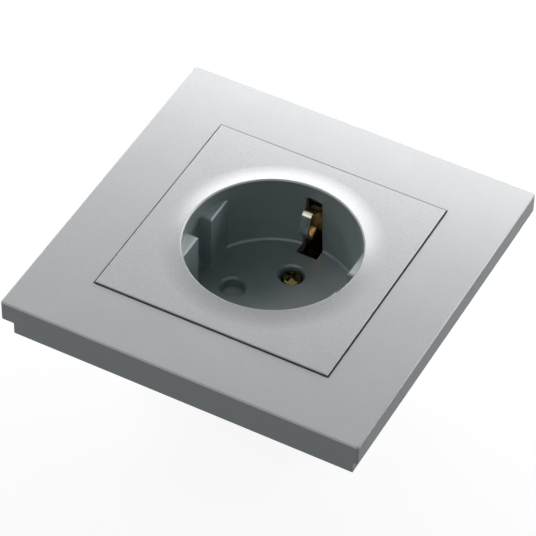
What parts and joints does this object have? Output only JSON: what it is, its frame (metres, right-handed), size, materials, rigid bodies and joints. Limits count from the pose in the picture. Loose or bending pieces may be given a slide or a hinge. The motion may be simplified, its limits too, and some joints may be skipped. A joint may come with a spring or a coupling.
{
  "type": "type f wall socket",
  "caption": "Square flush wall socket: flat frame with a stepped side, round recessed well with pin holes behind a sprung shutter, and a spring earth clip at each side.",
  "frame": {"origin": "middle of the wall plane: the back of the cover frame and of the support ring", "axes": "+Z points out of the wall, X runs through the two pin holes, Y through the two earth clips; mounted on a wall, +Y is up"},
  "size_m": [0.084, 0.084, 0.0388],
  "materials": {
    "silver_lacquer": "satin",
    "yellow_zinc": "satin",
    "grey_moulding": "matte",
    "spring_steel": "satin",
    "white_moulding": "matte",
    "zinc_plate": "satin",
    "plated_brass": "satin",
    "brass": "satin"
  },
  "bodies": {
    "insert": {"cover_frame": "silver_lacquer", "centre_plate": "silver_lacquer", "centre_screw": "yellow_zinc", "shutter_spring": "spring_steel", "contact_cover": "white_moulding", "socket_base": "white_moulding", "support_ring": "zinc_plate", "earth_strap": "plated_brass", "ring_rivet_1": "zinc_plate", "ring_rivet_2": "zinc_plate", "contact_right": "brass", "contact_spring_right": "spring_steel", "contact_left": "brass", "contact_spring_left": "spring_steel", "clamp_cage_right": "zinc_plate", "clamp_screw_right": "yellow_zinc", "clamp_cage_left": "zinc_plate", "clamp_screw_left": "yellow_zinc", "clamp_cage_earth": "zinc_plate", "clamp_screw_earth": "yellow_zinc"},
    "shutter_rotor": {"shutter": "grey_moulding"}
  },
  "joints": [
    {"name": "shutter_turn", "type": "hinge", "parent": "insert", "child": "shutter_rotor", "pos_m": [0, 0, -0.0106], "axis": [0, 0, -1], "range_deg": [0, 36], "stiffness_Nm_per_rad": 0.001, "springref_deg": -20.05, "deforming": ["shutter_spring"]}
  ]
}
